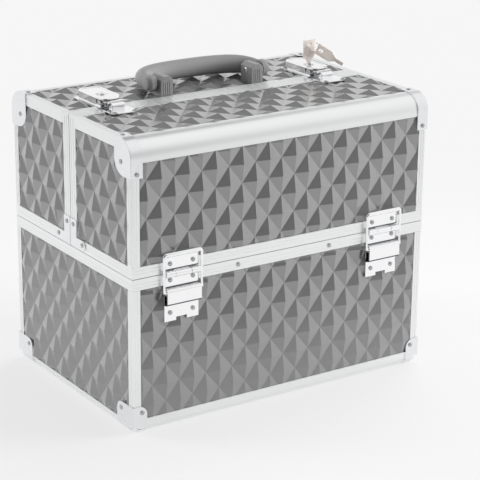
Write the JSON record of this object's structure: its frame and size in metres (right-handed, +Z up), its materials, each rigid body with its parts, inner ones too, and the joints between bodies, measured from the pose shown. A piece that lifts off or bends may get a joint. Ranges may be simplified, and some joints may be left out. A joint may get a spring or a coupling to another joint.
{
  "type": "makeup storage case with handle",
  "caption": "Aluminium-framed makeup case with diamond-embossed boards, a split top that opens both ways on hinges, folding handle, lockable latches and cantilever trays.",
  "frame": {"origin": "on the floor under the middle of the case", "axes": "+X to the right along the longest side, -Y to the front, +Z up"},
  "size_m": [0.322, 0.2316, 0.3013],
  "materials": {
    "embossed_board": "grey ABS skin embossed with pyramids, satin gloss",
    "plain_board": "flat board, dark grey",
    "lining": "thin dark grey foam lining, matt",
    "profile_aluminium": "extruded, silver anodised, satin",
    "plated_steel": "pressed steel, bright nickel-chrome plating",
    "lock_steel": "turned lock barrel, plated",
    "key_steel": "stamped key blank, warm nickel plating",
    "handle_plastic": "moulded soft-touch plastic, dark grey",
    "tray_plastic": "moulded tray, dark grey, fine texture"
  },
  "bodies": {
    "case": {"base_floor_panel": "plain_board", "base_long_panels": "embossed_board", "base_side_panels": "embossed_board", "base_lining": "lining", "base_rim": "profile_aluminium", "base_bottom_profile": "profile_aluminium", "base_corner_posts": "profile_aluminium", "base_corner_caps": "plated_steel", "hinge_plates": "plated_steel", "hinge_pins": "plated_steel", "base_rivets": "plated_steel", "tray_arm_pivots": "plated_steel"},
    "front_lid": {"front_lid_long_panels": "embossed_board", "front_lid_side_panels": "embossed_board", "front_lid_lining": "lining", "front_lid_rim": "profile_aluminium", "front_lid_top_rail": "profile_aluminium", "front_lid_corner_profiles": "profile_aluminium", "front_lid_split_frame": "profile_aluminium", "front_lid_corner_caps": "plated_steel", "front_lid_brackets": "plated_steel", "front_hinge_leaves": "plated_steel", "front_lid_fasteners": "plated_steel", "front_lid_tray_pins": "plated_steel", "latch_keepers": "plated_steel"},
    "front_bails": {"front_hinge_bails": "plated_steel"},
    "front_inner_arms": {"front_tray_arms_inner": "plated_steel"},
    "front_outer_arms": {"front_tray_arms_outer": "plated_steel"},
    "front_lower_tray": {"front_lower_tray": "tray_plastic"},
    "front_upper_tray": {"front_upper_tray": "tray_plastic"},
    "rear_lid": {"rear_lid_long_panels": "embossed_board", "rear_lid_side_panels": "embossed_board", "rear_lid_lining": "lining", "rear_lid_rim": "profile_aluminium", "rear_lid_top_rail": "profile_aluminium", "rear_lid_corner_profiles": "profile_aluminium", "rear_lid_split_frame": "profile_aluminium", "rear_lid_corner_caps": "plated_steel", "rear_lid_brackets": "plated_steel", "rear_hinge_leaves": "plated_steel", "rear_lid_fasteners": "plated_steel", "rear_lid_tray_pins": "plated_steel", "latch_bases": "plated_steel", "handle_mounts": "handle_plastic", "handle_pins": "plated_steel"},
    "rear_bails": {"rear_hinge_bails": "plated_steel"},
    "rear_inner_arms": {"rear_tray_arms_inner": "plated_steel"},
    "rear_outer_arms": {"rear_tray_arms_outer": "plated_steel"},
    "rear_lower_tray": {"rear_lower_tray": "tray_plastic"},
    "rear_upper_tray": {"rear_upper_tray": "tray_plastic"},
    "handle": {"handle_grip": "handle_plastic"},
    "right_latch": {"latch_lever_right": "plated_steel"},
    "left_latch": {"latch_lever_left": "plated_steel", "lock_barrel_left": "lock_steel"},
    "right_hook": {"latch_hook_right": "plated_steel"},
    "left_hook": {"latch_hook_left": "plated_steel"},
    "right_lock": {"lock_barrel_right": "lock_steel", "key": "key_steel"},
    "spare_key": {"spare_key": "key_steel", "key_ring": "key_steel"}
  },
  "joints": [
    {"name": "front_lid_hinge", "type": "hinge", "parent": "case", "child": "front_lid", "pos_m": [0, -0.1122, 0.146], "axis": [1, 0, 0], "range_deg": [0, 90]},
    {"name": "front_bail_swing", "type": "hinge", "parent": "case", "child": "front_bails", "pos_m": [0, -0.1128, 0.13], "axis": [1, 0, 0], "range_deg": [0, 65]},
    {"name": "front_inner_arm_hinge", "type": "hinge", "parent": "case", "child": "front_inner_arms", "pos_m": [0, -0.07599, 0.141], "axis": [1, 0, 0], "range_deg": [0, 90]},
    {"name": "front_outer_arm_hinge", "type": "hinge", "parent": "case", "child": "front_outer_arms", "pos_m": [0, -0.09159, 0.141], "axis": [1, 0, 0], "range_deg": [0, 90]},
    {"name": "front_lower_tray_pivot", "type": "hinge", "parent": "front_inner_arms", "child": "front_lower_tray", "pos_m": [0, -0.0429, 0.16686], "axis": [1, 0, 0], "range_deg": [-90, 0]},
    {"name": "front_upper_tray_pivot", "type": "hinge", "parent": "front_inner_arms", "child": "front_upper_tray", "pos_m": [0, -0.0098, 0.19272], "axis": [1, 0, 0], "range_deg": [-90, 0]},
    {"name": "rear_lid_hinge", "type": "hinge", "parent": "case", "child": "rear_lid", "pos_m": [0, 0.1122, 0.146], "axis": [-1, 0, 0], "range_deg": [0, 90]},
    {"name": "rear_bail_swing", "type": "hinge", "parent": "case", "child": "rear_bails", "pos_m": [0, 0.1128, 0.13], "axis": [-1, 0, 0], "range_deg": [0, 65]},
    {"name": "rear_inner_arm_hinge", "type": "hinge", "parent": "case", "child": "rear_inner_arms", "pos_m": [0, 0.07599, 0.141], "axis": [-1, 0, 0], "range_deg": [0, 90]},
    {"name": "rear_outer_arm_hinge", "type": "hinge", "parent": "case", "child": "rear_outer_arms", "pos_m": [0, 0.09159, 0.141], "axis": [-1, 0, 0], "range_deg": [0, 90]},
    {"name": "rear_lower_tray_pivot", "type": "hinge", "parent": "rear_inner_arms", "child": "rear_lower_tray", "pos_m": [0, 0.0429, 0.16686], "axis": [-1, 0, 0], "range_deg": [-90, 0]},
    {"name": "rear_upper_tray_pivot", "type": "hinge", "parent": "rear_inner_arms", "child": "rear_upper_tray", "pos_m": [0, 0.0098, 0.19272], "axis": [-1, 0, 0], "range_deg": [-90, 0]},
    {"name": "handle_fold", "type": "hinge", "parent": "rear_lid", "child": "handle", "pos_m": [0, 0.0224, 0.28], "axis": [1, 0, 0], "range_deg": [0, 100]},
    {"name": "right_latch_lever", "type": "hinge", "parent": "rear_lid", "child": "right_latch", "pos_m": [0, 0.0032, 0.2736], "axis": [1, 0, 0], "range_deg": [0, 75]},
    {"name": "right_latch_hook", "type": "hinge", "parent": "right_latch", "child": "right_hook", "pos_m": [0, 0.0088, 0.2728], "axis": [1, 0, 0], "range_deg": [-75, 0]},
    {"name": "left_latch_lever", "type": "hinge", "parent": "rear_lid", "child": "left_latch", "pos_m": [0, 0.0032, 0.2736], "axis": [1, 0, 0], "range_deg": [0, 75]},
    {"name": "left_latch_hook", "type": "hinge", "parent": "left_latch", "child": "left_hook", "pos_m": [0, 0.0088, 0.2728], "axis": [1, 0, 0], "range_deg": [-75, 0]},
    {"name": "key_turn", "type": "hinge", "parent": "right_latch", "child": "right_lock", "pos_m": [0.115, 0.019, 0.275], "axis": [0, 0, 1], "range_deg": [0, 90]},
    {"name": "spare_key_swing", "type": "hinge", "parent": "right_lock", "child": "spare_key", "pos_m": [0.115, 0.019, 0.2968], "axis": [1, 0, 0], "range_deg": [-75, 0]}
  ],
  "couplings": [
    {"joint": "front_bail_swing", "follows": "front_lid_hinge", "ratio": 0.72},
    {"joint": "front_inner_arm_hinge", "follows": "front_lid_hinge", "ratio": 1},
    {"joint": "front_outer_arm_hinge", "follows": "front_lid_hinge", "ratio": 1},
    {"joint": "front_lower_tray_pivot", "follows": "front_lid_hinge", "ratio": -1},
    {"joint": "front_upper_tray_pivot", "follows": "front_lid_hinge", "ratio": -1},
    {"joint": "rear_bail_swing", "follows": "rear_lid_hinge", "ratio": 0.72},
    {"joint": "rear_inner_arm_hinge", "follows": "rear_lid_hinge", "ratio": 1},
    {"joint": "rear_outer_arm_hinge", "follows": "rear_lid_hinge", "ratio": 1},
    {"joint": "rear_lower_tray_pivot", "follows": "rear_lid_hinge", "ratio": -1},
    {"joint": "rear_upper_tray_pivot", "follows": "rear_lid_hinge", "ratio": -1},
    {"joint": "right_latch_hook", "follows": "right_latch_lever", "ratio": -1},
    {"joint": "left_latch_hook", "follows": "left_latch_lever", "ratio": -1},
    {"joint": "spare_key_swing", "follows": "right_latch_lever", "ratio": -1}
  ]
}
